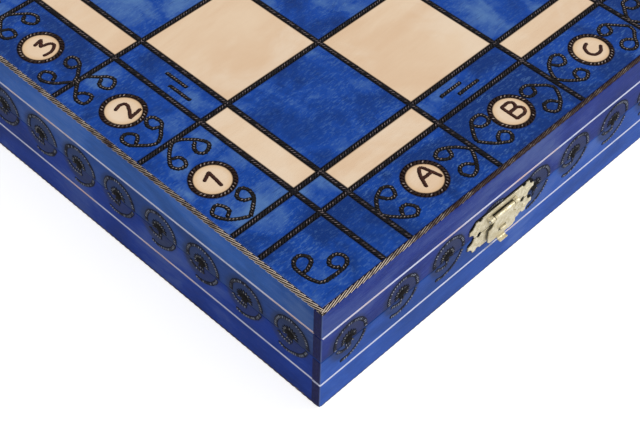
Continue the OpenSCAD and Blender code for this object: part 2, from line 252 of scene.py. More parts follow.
def fillNearest(given):
    # How far a value is from the nearest of a row of marks
    steps = calc("DIVIDE", minus(given["Value"], given["First"]), given["Pitch"])
    index = least(most(calc("ROUND", steps), 0.0), minus(given["Count"], 1.0))
    return {"Offset": times(minus(steps, index), given["Pitch"])}


woodFigure = makeGroup("woodFigure", {"Vector": None, "Figure Scale": 60.0, "Fibre Scale": 1500.0},
                       fillWoodFigure)
stain = makeGroup("stain", {"Clouds": 0.5, "Figure": 0.5, "Fibre": 0.5, "Pores": 0.0, "Tone": 0.0,
                            "Stain": black, "Pale": white, "Deep Share": 0.6, "Pale Share": 0.2}, fillStain)
nearestMark = makeGroup("nearestMark", {"Value": 0.0, "First": 0.0, "Pitch": 1.0, "Count": 1.0},
                        fillNearest)


def nearest(value, first, pitch, count):
    marks = {"Value": value, "First": first, "Pitch": pitch, "Count": count}
    return placeGroup(nearestMark, marks)["Offset"]


def figureOf(place, finish, alongY=False):
    if alongY:
        place = add("ShaderNodeMapping", {"Vector": place, "Rotation": (0, 0, math.pi / 2)}).outputs[0]
    return placeGroup(woodFigure, {"Vector": place, "Figure Scale": finish["figureScale"],
                                   "Fibre Scale": finish["fibreScale"]})


def stained(figure, tone, colour, finish):
    layers = {layer: figure[layer] for layer in woodLayers}
    return placeGroup(stain, {**layers, "Tone": tone, "Stain": colour, "Pale": finish["pale"],
                              "Deep Share": finish["deepShare"], "Pale Share": finish["paleShare"]})


def fillBurnDistance(given):
    # Distance in metres from a point of the playing face to the nearest burnt line or ring
    axes = axesOf(given["Vector"])
    x, y, aside = axes["X"], axes["Y"], absolute(axes["X"])
    half = square / 2

    def offset(value, first, count):
        return nearest(value, first * mm, square * mm, count)

    def fromLine(value, line):
        return absolute(minus(value, line * mm))

    columns = absolute(offset(x, fieldLeft, files + 1))
    rows = absolute(offset(y, fieldFront, ranks))
    bands = least(fromLine(aside, band - fieldLeft), fromLine(y, fieldFront - band))
    line = minus(least(columns, rows, bands), case["grooveWidth"] / 2 * mm)
    letter = radiusOf(offset(x, fieldLeft + half, files), minus(y, letterLine * mm))
    number = radiusOf(offset(y, fieldFront + half, ranks), minus(aside, numberLine * mm))
    ring = least(fromLine(letter, ringMiddle), fromLine(number, ringMiddle))
    return {"Distance": least(line, minus(ring, case["ringWidth"] / 2 * mm))}


burnDistance = makeGroup("burnDistance", {"Vector": None}, fillBurnDistance)

# The panel's materials. Lengths are in mm, and scorchDepth is how far down a face is scorched.
panelFinish = {
    "stain": (20, 70, 160), "pale": (150, 196, 222), "deepShare": 0.54, "paleShare": 0.34,
    "grain": (2.4, 1, 1), "roughness": 0.42, "specular": 0.08, "scorchReach": 0.5, "scorchShare": 0.55,
    "figureScale": 60.0, "fibreScale": 1500.0, "shine": (0.36, 0.52),
}
bareFinish = {
    "ground": (239, 212, 181), "warm": (231, 198, 164), "clear": (243, 222, 197),
    "figureScale": 40.0, "fibreScale": 900.0, "relief": 0.03, "roughness": 0.45, "specular": 0.15,
    "scorch": (60, 30, 16), "scorchReach": 0.5, "scorchShare": 0.8,
    "glow": (220, 178, 126), "glowReach": 2.6, "glowShare": 0.5,
    "clearClouds": (0.3, 1.0, 0.0, 0.6), "poreShare": 0.16, "shine": (0.38, 0.55),
}
char = {"deep": (9, 7, 7), "brown": (34, 22, 16), "roughness": 0.7, "specular": 0.1, "relief": 0.1,
        "crumbScale": 1400.0, "crumbs": (0.4, 0.7), "scorchDepth": 1.5}


def scorched(place, reach, share):
    distance = placeGroup(burnDistance, {"Vector": place})["Distance"]
    middle = top / 2 * mm
    fromMiddle = absolute(minus(axesOf(place)["Z"], middle))
    onFace = above(fromMiddle, middle - char["scorchDepth"] * mm)
    return times(spread(distance, 0.0, reach * mm, share, 0.0), onFace)


def makePanelBlue():
    finish = panelFinish
    material = makeMaterial("bluePanel", finish["roughness"], finish["specular"])
    place = objectPlace()
    figure = figureOf(scaled(place, finish["grain"]), finish)
    colour = stained(figure, attribute("tone"), finish["stain"], finish)
    burn = scorched(place, finish["scorchReach"], finish["scorchShare"])
    shine = spread(figure["Fibre"], 0.0, 1.0, *finish["shine"])
    return coat(material, mixed(burn, colour["Color"], char["deep"]), shine, colour["Height"],
                wood["relief"])


def makePanelBare():
    finish = bareFinish
    material = makeMaterial("barePanel", finish["roughness"], finish["specular"])
    place = objectPlace()
    figure = figureOf(place, finish)
    ground = layered(
        finish["ground"], (figure["Figure"], finish["warm"]),
        (spread(figure["Clouds"], *finish["clearClouds"]), finish["clear"]),
        (times(figure["Pores"], finish["poreShare"]), finish["warm"]),
        (times(scorched(place, finish["glowReach"], finish["glowShare"]), attribute("disc")), finish["glow"]))
    burn = scorched(place, finish["scorchReach"], finish["scorchShare"])
    shine = spread(figure["Fibre"], 0.0, 1.0, *finish["shine"])
    return coat(material, mixed(burn, ground, finish["scorch"]), shine, figure["Fibre"], finish["relief"])


def makeGroove():
    material = makeMaterial("burntGroove", char["roughness"], char["specular"])
    crumbs = noise(objectPlace(), char["crumbScale"])
    colour = mixed(spread(crumbs, *char["crumbs"]), char["deep"], char["brown"])
    return coat(material, colour, char["roughness"], crumbs, char["relief"])


# Burnt strands. Their colours are those of pits, dark wood and pale crests, which are partly worn wood and
# partly painted highlights and start at some crest height.
strandColumns = ("Pit", "Dark", "Worn", "Share", "Worn From", "Roughness", "Specular")
strandFinish = {
    "line": ((5, 4, 6), (15, 13, 18), (138, 122, 122), 0.88, 0.94, 0.5, 0.1),
    "ring": ((12, 6, 5), (34, 18, 15), (172, 156, 148), 0.8, 0.93, 0.5, 0.1),
    "scroll": ((5, 4, 5), (15, 12, 15), (164, 148, 140), 0.95, 0.94, 0.5, 0.1),
    "bed": ((6, 5, 6), (10, 8, 9), (22, 18, 18), 0.2, 0.9, 0.7, 0.05),
    "letter": ((28, 12, 7), (52, 22, 12), (98, 56, 36), 0.35, 0.7, 0.5, 0.12),
    "rosette": ((16, 17, 24), (28, 30, 42), (150, 156, 172), 0.95, 0.88, 0.5, 0.06),
    "heart": ((5, 5, 8), (14, 14, 20), (170, 172, 178), 0.9, 0.93, 0.5, 0.06),
    "rosetteBed": ((36, 39, 56), (44, 48, 68), (56, 60, 82), 0.3, 0.9, 0.7, 0.03),
    "rope": ((20, 12, 12), (64, 42, 36), (232, 214, 194), 0.88, 0.4, 0.5, 0.12),
}
# Charred in the valleys, and pale on some crests, partly worn to the wood and partly painted highlights. Low,
# high and
# full are each a slope and a start: where the pale crests begin and end with their share, and the crest at
# which they are whole.
wear = {"patches": (160.0, 3.0, 0.7), "patchShare": 0.7, "toneShare": 0.5, "low": (-0.6, 0.95),
        "high": (-0.4, 1.1), "full": (0.5, 0.5), "valley": (0.1, 0.7), "gritScale": 3000.0,
        "shine": (0.3, 0.7, -0.08, 0.14), "relief": 0.04}


def fillStrandSkin(given):
    patches = noise(given["Vector"], *wear["patches"])
    spots = calc("MULTIPLY_ADD", patches, wear["patchShare"], times(given["Tone"], wear["toneShare"]))
    low = calc("MULTIPLY_ADD", given["Share"], *wear["low"])
    high = calc("MULTIPLY_ADD", given["Share"], *wear["high"])
    full = calc("MULTIPLY_ADD", given["Worn From"], *wear["full"])
    shade = mixed(spread(given["Crest"], *wear["valley"]), given["Pit"], given["Dark"])
    # Pale crests: partly wear, partly painted highlights
    worn = times(spread(given["Crest"], given["Worn From"], full), spread(spots, low, high))
    grit = noise(given["Vector"], wear["gritScale"], 1.0)
    return {"Color": mixed(worn, shade, given["Worn"]), "Grit": grit,
            "Roughness": plus(given["Roughness"], spread(grit, *wear["shine"]))}


strandSkin = makeGroup("strandSkin", {
    "Vector": None, "Crest": 0.5, "Tone": 0.5, "Pit": black, "Dark": black, "Worn": white,
    "Share": 0.3, "Worn From": 0.7, "Roughness": 0.4}, fillStrandSkin)


def makeStrand(name):
    values = dict(zip(strandColumns, strandFinish[name]))
    material = makeMaterial(name + "Strand", values["Roughness"], values.pop("Specular"))
    skin = placeGroup(strandSkin, {"Vector": objectPlace(), "Crest": attribute("crest"),
                                   "Tone": attribute("tone"), **values})
    return coat(material, skin["Color"], skin["Roughness"], skin["Grit"], wear["relief"])


# The walls' material. Lengths are in mm, and stripeDeep, endDeepest, bedDeep and bedDown say how far in.
wall = {
    "longTop": (34, 54, 134), "longUpper": (36, 54, 132), "longLower": (46, 86, 172),
    "sideTop": (56, 104, 186), "sideUpper": (42, 78, 152), "sideLower": (22, 60, 156),
    "pale": (170, 196, 226), "deepShare": 0.64, "paleShare": 0.2, "tone": -0.05,
    "cornerShade": 0.45, "cornerReach": 42.0, "cornerFrom": 0.3, "cornerWear": 0.5, "cornerShare": 0.4,
    "stripe": (222, 224, 240), "stripeBlue": (184, 198, 226), "stripeWarm": (224, 202, 200),
    "stripeDeep": 0.62, "stripeEdge": 0.06, "warmClouds": (0.5, 1.0), "blueFibres": (0.55, 1.0, 0.0, 0.6),
    "endDeep": (12, 14, 58), "endPale": (24, 30, 90), "endDeepest": 0.7, "lipEdge": 0.05,
    "worn": (120, 140, 196), "burnt": (26, 20, 26), "bedDeep": 1.8, "bedDown": 1.0,
    "bare": (216, 186, 146), "bareWarm": (198, 160, 116), "barePale": (228, 204, 170),
    "barePore": (150, 112, 76), "poreShare": 0.5, "paleFibres": (0.4, 1.0, 0.0, 0.6),
    "haze": (44, 50, 68), "hazeReach": 50.0, "skin": 0.45, "skinEdge": 0.12,
    "figureScale": 70.0, "fibreScale": 1300.0, "rayNoise": (2600.0, 2.0, 0.6), "rays": (0.35, 0.65),
    "roughness": 0.45, "specular": 0.03, "shine": (0.38, 0.54),
}
rosette = {
    "height": 30.0, "ringRadius": 8.0, "ringReach": 3.4, "heartRadius": 4.4, "fill": 0.8, "fillEdge": 1.2,
    "ringShare": 0.85, "heartShare": 0.92, "heartEdge": (0.7, 1.4), "patchy": 0.65,
    "path": [(-80, 5.0), (-110, 5.4), (-140, 6.4), (-180, 7.3), (-225, 7.9), (-270, 8.2), (-315, 8.5),
             (-360, 8.8), (-400, 9.0), (-430, 9.6), (-455, 10.5), (-474, 10.9)],
    "tickRadius": 3.0, "coreRadius": 2.1, "coreHeight": 0.15, "stray": 0.4, "turn": 9, "grow": (0.95, 1.04),
}
# How far from a wall's corner its first rosettes are, and the pitch and count of the rest
rosetteRow = {
    "long": {"corner": 13.6, "first": 41.1, "pitch": 24.8, "count": 9},
    "side": {"corner": 15.0, "first": 15.0, "pitch": 22.9, "count": 10},
}


def fillHaze(given):
    # Smoke round a row of burnt rosettes: a ring and a heart about each middle
    offset = nearest(given["Along"], given["First"], given["Pitch"], given["Count"])
    offset = least(absolute(offset), absolute(minus(given["Along"], given["Corner"])))
    radius = radiusOf(offset, minus(given["Height"], rosette["height"] * mm))
    middle, inner = rosette["ringRadius"] * mm, rosette["heartRadius"] * mm
    ring = spread(absolute(minus(radius, middle)), 0.0, rosette["ringReach"] * mm, rosette["ringShare"], 0.0)
    fill = spread(radius, middle, middle + rosette["fillEdge"] * mm, rosette["fill"], 0.0)
    heart = spread(radius, *(inner * edge for edge in rosette["heartEdge"]), rosette["heartShare"], 0.0)
    patchy = spread(given["Clouds"], 0.0, 1.0, rosette["patchy"], 1.0)
    return {"Haze": times(most(most(ring, fill), heart), patchy)}


def fillWallPlaces(given):
    # What a point of a wall belongs to, from its place in the closed case
    axes = axesOf(given["Vector"])
    height = axes["Z"]
    fromSide = minus(halfWidth * mm, absolute(axes["X"]))
    fromFront = minus(axes["Y"], front * mm)
    fromEnds = least(fromFront, minus(back * mm, axes["Y"]))
    fromFlats = least(height, minus(top * mm, height))
    fromFace = least(fromSide, fromEnds)

    def within(value, limit):
        return below(value, limit * mm)

    skin, edge = wall["skin"] * mm, wall["skinEdge"]
    outside = spread(least(fromFace, fromFlats), skin, skin + edge * mm, 1.0, 0.0)
    inLip = within(fromEnds, case["cornerLip"] + wall["lipEdge"])
    onEnd = times(within(fromSide, wall["endDeepest"]), inLip)
    half = (case["stripeWidth"] / 2 + wall["stripeEdge"]) * mm
    highLine = (top - case["stripeInset"]) * mm
    low = calc("COMPARE", height, case["stripeInset"] * mm, half)
    high = times(calc("COMPARE", height, highLine, half), minus(1.0, onEnd))
    # The burnt bed of the rope lies along every arris of both playing faces
    bed = times(within(fromFlats, wall["bedDown"]), within(fromFace, wall["bedDeep"]))
    return {
        "From Side": fromSide, "From Front": fromFront, "Height": height, "Outside": most(outside, bed),
        "Upper": above(height, seam * mm), "Top": above(height, highLine),
        "End Grain": times(within(fromSide, edge), inLip), "Rope Bed": bed,
        "Stripe": times(most(low, high), within(fromFace, wall["stripeDeep"])),
        "Corner": spread(plus(fromSide, fromEnds), wall["cornerFrom"] * mm,
                         wall["cornerWear"] * mm, 1.0, 0.0)}


def fillBeech(given):
    return {"Color": layered(
        wall["bare"], (given["Figure"], wall["bareWarm"]),
        (spread(given["Fibre"], *wall["paleFibres"]), wall["barePale"]),
        (times(given["Pores"], wall["poreShare"]), wall["barePore"]))}


rosetteHaze = makeGroup("rosetteHaze", {"Along": 0.0, "Height": 0.0, "Corner": 0.0, "First": 0.0,
                                        "Pitch": 1.0, "Count": 1.0, "Clouds": 0.5}, fillHaze)
wallPlaces = makeGroup("wallPlaces", {"Vector": None}, fillWallPlaces)
bareBeech = makeGroup("bareBeech", {"Figure": 0.5, "Fibre": 0.5, "Pores": 0.0}, fillBeech)


def makeWall(name, alongY):
    material = makeMaterial(name, wall["roughness"], wall["specular"])
    place = objectPlace()
    where = placeGroup(wallPlaces, {"Vector": place})
    figure = figureOf(place, wall, alongY)
    kind = "side" if alongY else "long"
    ground = mixed(where["Upper"], wall[kind + "Lower"], wall[kind + "Upper"])
    ground = mixed(where["Top"], ground, wall[kind + "Top"])
    if alongY:
        shade = spread(where["From Front"], 0.0, wall["cornerReach"] * mm, wall["cornerShade"], 0.0)
        ground = mixed(times(shade, where["Upper"]), ground, wall["endDeep"])
    colour = stained(figure, wall["tone"], ground, wall)
    row = rosetteRow[kind]
    haze = placeGroup(rosetteHaze, {
        "Along": where["From Front" if alongY else "From Side"], "Height": where["Height"],
        "Corner": row["corner"] * mm, "First": row["first"] * mm, "Pitch": row["pitch"] * mm,
        "Count": row["count"], "Clouds": figure["Clouds"]})["Haze"]
    if not alongY:
        # The back walls meet when the board lies open, so nothing is burnt on them
        haze = times(haze, below(where["From Front"], wall["hazeReach"] * mm))
    # The end grain of the long walls shows as a dark strip at each corner of the short sides
    rays = noise(place, *wall["rayNoise"])
    endGrain = mixed(spread(rays, *wall["rays"]), wall["endDeep"], wall["endPale"])
    pale = layered(wall["stripe"],
                   (spread(figure["Clouds"], *wall["warmClouds"]), wall["stripeWarm"]),
                   (spread(figure["Fibre"], *wall["blueFibres"]), wall["stripeBlue"]))
    # The pale line on the vertical corners is partly wear and partly a painted highlight
    skin = layered(colour["Color"], (haze, wall["haze"]), (where["End Grain"], endGrain),
                   (times(where["Corner"], wall["cornerShare"]), wall["worn"]),
                   (where["Stripe"], pale), (where["Rope Bed"], wall["burnt"]))
    inner = placeGroup(bareBeech, {key: figure[key] for key in ("Figure", "Fibre", "Pores")})["Color"]
    isSkin = most(where["Outside"], where["Stripe"])
    shine = spread(figure["Fibre"], 0.0, 1.0, *wall["shine"])
    return coat(material, mixed(isSkin, inner, skin), shine, colour["Height"], wood["relief"])


# Metals: the clear colour, those of warm clouds and of tarnished specks, and roughness
metalColumns = ("Bright", "Warm", "Tarnish", "Roughness")
metalFinish = {
    "clasp": ((208, 200, 176), (186, 175, 144), (96, 88, 64), 0.5),
    "hinge": ((214, 194, 142), (192, 166, 106), (106, 88, 56), 0.36),
    "steel": ((206, 204, 198), (178, 174, 166), (96, 92, 86), 0.36),
}
metal = {"clouds": (420.0, 4.0, 0.65), "specks": (2200.0, 3.0, 0.7), "scratches": (3600.0, 2.0, 0.6),
         "scratchStretch": 0.12, "warm": (0.35, 0.65), "tarnish": (0.54, 0.72, 0.0, 0.8),
         "shine": (0.7, 1.3, -0.08, 0.2), "relief": 0.06}
# Grime and painted shade darken a band on top of the hasp's knuckle, in the window of the upper plate
grime = {"colour": (46, 40, 28), "height": 34.0, "reach": 0.9, "half": 7.6, "share": 0.6}


def fillMetalSkin(given):
    clouds = noise(given["Vector"], *metal["clouds"])
    specks = noise(given["Vector"], *metal["specks"])
    drawn = scaled(given["Vector"], (metal["scratchStretch"], 1, 1))
    scratches = noise(drawn, *metal["scratches"])
    colour = mixed(spread(clouds, *metal["warm"]), given["Bright"], given["Warm"])
    height = plus(scratches, specks)
    return {"Color": mixed(spread(specks, *metal["tarnish"]), colour, given["Tarnish"]),
            "Roughness": plus(given["Roughness"], spread(height, *metal["shine"])),
            "Height": height}


metalSkin = makeGroup("metalSkin", {"Vector": None, "Bright": white, "Warm": white, "Tarnish": black,
                                    "Roughness": 0.35}, fillMetalSkin)


def makeMetal(name):
    values = dict(zip(metalColumns, metalFinish[name]))
    material = makeMaterial(name + "Metal", values["Roughness"], metallic=1.0)
    place = objectPlace()
    skin = placeGroup(metalSkin, {"Vector": place, **values})
    colour = skin["Color"]
    # The clasp's metal gets a darker band across the knuckle in the plate's window: grime and painted shade
    if name == "clasp":
        axes = axesOf(place)
        aside = minus(absolute(axes["X"]), case["claspX"] * mm)
        inWindow = below(absolute(aside), grime["half"] * mm)
        away = absolute(minus(axes["Z"], grime["height"] * mm))
        strip = spread(away, 0.0, grime["reach"] * mm, grime["share"], 0.0)
        colour = mixed(times(inWindow, strip), colour, grime["colour"])
    return coat(material, colour, skin["Roughness"], skin["Height"], metal["relief"])


materials = {
    "blue": makePanelBlue(), "bare": makePanelBare(), "groove": makeGroove(),
    "longWall": makeWall("stainedLongWall", False), "sideWall": makeWall("stainedSideWall", True),
}
materials.update({name: makeMetal(name) for name in metalFinish})
materials.update({name: makeStrand(name) for name in strandFinish})
print("materials made:", len(materials))


# Mesh helpers
def meshOf(bm, name):
    mesh = bpy.data.meshes.new(name)
    bm.to_mesh(mesh)
    bm.free()
    return mesh


def show(name, data):
    made = bpy.data.objects.new(name, data)
    bpy.context.scene.collection.objects.link(made)
    return made


def finishPiece(bm, name, body, usedMaterials):
    mesh = meshOf(bm, name)
    for material in usedMaterials:
        mesh.materials.append(materials[material])
    piece = show(name, mesh)
    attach(piece, body)
    return piece


def nodeCopy(node):
    # A merged copy of a CAD node
    bm = bmesh.new()
    bm.from_mesh(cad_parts[node].data)
    bmesh.ops.remove_doubles(bm, verts=bm.verts, dist=closeBy["merge"])
    return bm


def bend(points, steps=6):
    # A smooth run through the points
    run = [Vector(point) for point in points]
    if len(run) < 3:
        return run
    ends = [2 * run[0] - run[1]] + run + [2 * run[-1] - run[-2]]
    smooth = []
    for a, b, c, d in zip(ends, ends[1:], ends[2:], ends[3:]):
        for step in range(steps):
            t = step / steps
            smooth.append(0.5 * (2 * b + (c - a) * t + (2 * a - 5 * b + 4 * c - d) * t ** 2
                                 + (3 * b - a - 3 * c + d) * t ** 3))
    return smooth + [run[-1]]


shortest = 1e-6     # no step of a run counts as shorter than this


def pace(run, pitch):
    # Points an even pitch apart along a run, each with its direction
    lengths = [(b - a).length for a, b in zip(run, run[1:])]
    count = max(2, round(sum(lengths) / pitch))
    step = sum(lengths) / count
    placed, walked, index = [], 0.0, 0
    for k in range(count):
        target = (k + 0.5) * step
        while index < len(lengths) - 1 and walked + lengths[index] < target:
            walked += lengths[index]
            index += 1
        along = (target - walked) / max(lengths[index], shortest)
        placed.append((run[index].lerp(run[index + 1], along), (run[index + 1] - run[index]).normalized()))
    return placed


def circleRun(middle, radius, steps=40):
    turn = [2 * math.pi * k / steps for k in range(steps + 1)]
    return [Vector((middle[0] + radius * math.cos(a), middle[1] + radius * math.sin(a))) for a in turn]


def facePlane(right, up, origin):
    # A face to burn on, from its right and up directions and a point in its plane
    right, up = Vector(right), Vector(up)
    turn = Matrix((right, up, right.cross(up))).transposed().to_4x4()
    return Matrix.Translation(origin) @ turn


# Strands in mm: their pitch, slant from the run's direction, half sizes along, across and up, and the
# height of their middle above the wood
strands = {
    "column": (1.3, 40, 2.1, 0.48, 0.42, -0.15),
    "row": (1.3, 40, 1.65, 0.48, 0.42, -0.15),
    "ring": (1.5, 55, 1.4, 0.6, 0.48, -0.21),
    "scroll": (1.25, 42, 1.3, 0.55, 0.28, 0.0),
    "bed": (0.7, 0, 1.0, 1.0, 0.13, 0.0),
    "letter": (0.55, 20, 0.98, 0.88, 0.22, 0.0),
    "rosette": (1.15, 75, 1.1, 0.46, 0.23, 0.0),
    "heart": (1.1, 90, 1.3, 0.48, 0.23, 0.0),
    "rosetteBed": (0.8, 0, 1.0, 1.0, 0.1, 0.0),
}
strandVary = {"slant": 5, "size": (0.9, 1.05), "sway": 0.08}
panelSink = 0.3     # the wood lies this far below the lip, and the burnt strands rise to it


def strew(run, kind, plane):
    # Strands along a run on a face. Each is (where it goes, its tone).
    pitch, slant, long, wide, high, rise = strands[kind]
    made = []
    for point, along in pace(run, pitch):
        angle = math.atan2(along.y, along.x) + math.radians(slant + jitter(strandVary["slant"]))
        size = chance.uniform(*strandVary["size"])
        aside = Vector((-along.y, along.x)) * jitter(strandVary["sway"])
        spot = Matrix.Translation((point.x + aside.x, point.y + aside.y, rise))
        shape = Matrix.Diagonal((long * size, wide, high * size, 1))
        made.append((plane @ spot @ Matrix.Rotation(angle, 4, "Z") @ shape, chance.random()))
    return made


def strewAll(runs, kind, plane):
    return [one for run in runs for one in strew(run, kind, plane)]


def makeBead(name, subdivisions):
    bm = bmesh.new()
    bmesh.ops.create_icosphere(bm, subdivisions=subdivisions, radius=1.0)
    return meshOf(bm, name)


bead = makeBead("bead", 2)
chip = makeBead("chip", 1)


def strandLayers(bm):
    return [bm.verts.layers.float.new(name) for name in ("crest", "tone")]


def finishStrands(bm, name, body, material):
    for face in bm.faces:
        face.smooth = True
    finishPiece(bm, name, body, [material])


def beadPiece(name, placed, body, material, template=bead):
    bm = bmesh.new()
    for _ in placed:
        bm.from_mesh(template)
    crest, tone = strandLayers(bm)
    shape = [v.co.copy() for v in template.vertices]
    corners = ((where, value, at) for where, value in placed for at in shape)
    for vert, (where, value, at) in zip(bm.verts, corners):
        vert.co = (where @ at) * mm
        vert[crest] = 0.5 + 0.5 * at.z
        vert[tone] = value
    finishStrands(bm, name, body, material)


# The two boards
def cellOf(x, y):
    # What a point of the playing face belongs to: (zone, column, row)
    column = math.floor((x - fieldLeft) / square)
    row = math.floor((y - fieldFront) / square)
    if 0 <= column < files:
        zone = "field" if row >= 0 else "frontBand" if y > fieldFront - band else "frontBorder"
    else:
        beyond = -fieldLeft < abs(x) < -fieldLeft + band
        column = -1 if x < 0 else files
        zone = "sideBand" if beyond else "sideBorder"
        if row < 0:
            zone = "cornerBand" if beyond and y > fieldFront - band else "corner"
    return zone, column, row


discs = [(fieldLeft + (k + 0.5) * square, letterLine) for k in range(files)]
discs += [(side * numberLine, fieldFront + (k + 0.5) * square)
          for side in (-1, 1) for k in range(ranks)]


def isBare(x, y):
    zone, column, row = cellOf(x, y)
    if zone == "field":
        return (column + row) % 2 == 1
    if zone == "frontBand":
        return column % 2 == 0
    if zone == "sideBand":
        return (max(0, min(files - 1, column)) + row) % 2 == 0
    return any(math.hypot(x - dx, y - dy) < case["discRadius"] + case["discEdge"] for dx, dy in discs)


cellLift = {"field": 0.0, "frontBand": -0.05, "sideBand": -0.1, "frontBorder": -0.26, "sideBorder": 0.1,
            "cornerBand": 0.1, "corner": -0.22}
cellVary = 0.14
# Some cells' own tones, as in the photo
cellSeen = {
    ("sideBorder", -1, 0): 0.05, ("sideBorder", -1, 1): -0.12, ("sideBorder", -1, 2): -0.3,
    ("frontBorder", 0, -1): -0.32, ("frontBorder", 1, -1): -0.45, ("frontBorder", 2, -1): -0.35,
    ("field", 0, 0): -0.06,
}
# In mm: how deep a face of the top and one in a groove may lie, how far inside the edge a groove is, and
# how near the top a corner is let down
nearness = {"top": 0.05, "groove": 0.65, "edge": 0.02, "corner": 0.01}


def makeBoard(half):
    turn = halves[half]
    unturn = turn.inverted()
    bm = nodeCopy(half + "_panel")
    tone = bm.faces.layers.float.new("tone")
    disc = bm.faces.layers.float.new("disc")
    cellTone = dict(cellSeen)
    for face in bm.faces:
        middle = unturn @ (face.calc_center_median() / mm)
        depth = top - middle.z
        if depth < nearness["top"]:
            bare = isBare(middle.x, middle.y)
            face.material_index = 1 if bare else 0
            cell = cellOf(middle.x, middle.y)
            if cell not in cellTone:
                cellTone[cell] = cellLift[cell[0]] + jitter(cellVary)
            face[tone] = cellTone[cell]
            face[disc] = 1.0 if bare and cell[0].endswith("Border") else 0.0
        else:
            inside = abs(middle.x) < halfWidth - panelEdge - nearness["edge"]
            face.material_index = 2 if depth < nearness["groove"] and inside else 1
    for vert in bm.verts:
        at = unturn @ (vert.co / mm)
        if at.z > top - nearness["corner"]:
            at.z -= panelSink
            vert.co = (turn @ at) * mm
    board = finishPiece(bm, half + "Board", half + "_half", ["blue", "bare", "groove"])
    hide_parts(half + "_panel")


for half in halves:
    makeBoard(half)
print("boards made")


# Burnt lines, scrolls and letters. An arm leaves its apex at a grid line and curls in towards the disc.
scroll = {
    "arms": [
        [(0.2, 0.3), (1.5, 2.7), (4.1, 5.7), (6.8, 8.0), (9.5, 8.6), (11.6, 7.3), (11.9, 4.9),
         (10.0, 3.0), (7.3, 3.4), (5.7, 5.8)],
        [(0.2, -0.3), (1.7, -2.8), (4.2, -5.6), (6.7, -7.7), (9.4, -8.4), (11.5, -7.2), (11.8, -5.0),
         (9.9, -3.2), (7.4, -3.5), (5.8, -5.8)],
    ],
    "apexes": {
        "frontStart": [(0.3, -0.5), (3.1, -1.1), (1.3, -0.7)],
        "frontEnd": [(1.2, 2.0), (2.3, 3.0), (2.2, 2.3)],
        "sideStart": [(2.2, 2.6), (2.8, 2.0), (0.5, 3.0)],
        "sideEnd": [(0.5, 2.2), (-0.3, -0.5), (0.0, 1.2)],
        "atFold": [(2.4, 1.2)],
    },
    "vary": 0.35, "turn": 3,
}
cornerScroll = [(8.4, 16.9), (10.4, 17.1), (12.6, 18.0), (14.0, 19.4), (14.0, 21.4), (12.4, 23.2),
                (10.2, 23.2), (8.3, 21.9), (7.4, 19.6), (7.4, 16.4), (7.8, 13.2), (8.8, 10.6), (10.4, 9.3),
                (13.1, 8.9), (17.0, 8.8), (20.6, 9.1), (22.8, 10.7), (23.2, 12.9), (21.6, 14.9),
                (18.9, 15.0), (17.1, 13.5), (17.2, 11.4), (18.6, 10.1)]
glyphs = {
    "1": [[(-4.0, 1.6), (-0.1, 3.6)], [(-0.1, 3.6), (-1.1, -4.1)]],
    "2": [[(-3.2, 2.4), (-0.6, 3.2), (1.4, 2.4), (1.1, 0.1), (-2.0, -4.5)], [(-2.0, -4.5), (3.6, -3.7)]],
    "3": [[(-2.4, 2.4), (1.1, 3.2), (-1.2, 0.5)],
          [(-1.2, 0.5), (2.6, -0.7), (3.0, -2.6), (0.3, -4.5), (-3.4, -4.4)]],
    "4": [[(0.9, 4.1), (-3.0, -1.2)], [(-3.0, -1.2), (2.9, -1.2)], [(1.2, 1.6), (0.9, -4.2)]],
    "5": [[(2.2, 4.0), (-2.0, 4.0)], [(-2.0, 4.0), (-2.3, 0.8)],
          [(-2.3, 0.8), (0.4, 1.4), (2.6, -0.2), (2.2, -2.9), (-0.2, -4.1), (-2.6, -3.3)]],
    "6": [[(1.8, 4.0), (-1.4, 2.2), (-2.6, -1.4), (-1.0, -3.9), (1.6, -3.7), (2.5, -1.7), (1.0, 0.2),
           (-1.4, 0.0), (-2.5, -1.6)]],
    "7": [[(-2.8, 3.9), (2.6, 3.9)], [(2.6, 3.9), (0.4, 0.4), (-0.9, -4.2)]],
    "8": [[(0.2, 0.4), (-2.0, 2.1), (-1.0, 4.0), (1.2, 4.0), (2.1, 2.2), (0.2, 0.4), (-2.4, -1.8),
           (-1.1, -4.0), (1.4, -4.0), (2.5, -1.9), (0.2, 0.4)]],
    "A": [[(-3.9, -2.8), (-1.6, 2.0), (0.4, 4.5), (1.7, 4.4), (2.6, 1.6), (3.8, -3.2)],
          [(-2.3, 0.5), (2.8, 0.5)]],
    "B": [[(-2.6, 3.9), (-2.7, -3.8)], [(-2.6, 3.9), (1.3, 3.9), (2.5, 2.3), (1.0, 0.4), (-2.5, 0.2)],
          [(-2.5, 0.2), (2.0, 0.0), (3.2, -1.9), (1.6, -3.8), (-2.7, -3.8)]],
    "C": [[(0.1, 3.6), (-2.4, 2.6), (-3.7, 0.1), (-3.2, -2.0), (-1.8, -3.0), (0.8, -3.0), (3.2, -1.1)]],
    "D": [[(-2.8, 3.9), (-2.7, -3.8)],
          [(-2.8, 3.9), (0.9, 3.5), (3.0, 1.2), (2.8, -1.6), (0.6, -3.6), (-2.7, -3.8)]],
    "E": [[(-2.4, 3.8), (-2.4, -3.9)], [(-2.4, 3.8), (2.5, 3.8)], [(-2.4, 0.1), (1.9, 0.1)],
          [(-2.4, -3.9), (2.8, -3.9)]],
    "F": [[(-2.4, 3.8), (-2.4, -4.0)], [(-2.4, 3.8), (2.7, 3.8)], [(-2.4, 0.2), (1.8, 0.2)]],
    "G": [[(2.6, 2.8), (0.5, 3.9), (-2.1, 2.9), (-3.0, 0.0), (-2.1, -2.9), (0.5, -3.9), (2.7, -2.9),
           (2.8, -0.4)], [(2.8, -0.4), (0.4, -0.4)]],
    "H": [[(-2.7, 3.8), (-2.7, -3.9)], [(2.6, 3.8), (2.6, -3.9)], [(-2.7, 0.0), (2.6, 0.0)]],
}
lettering = {"upper": "ABCDEFGH12341234", "lower": "HGFEDCBA87658765", "shift": (1.4, -0.1)}
dash = {"length": 11.0, "gap": 3.8, "shift": 6.0, "offset": 4.5}
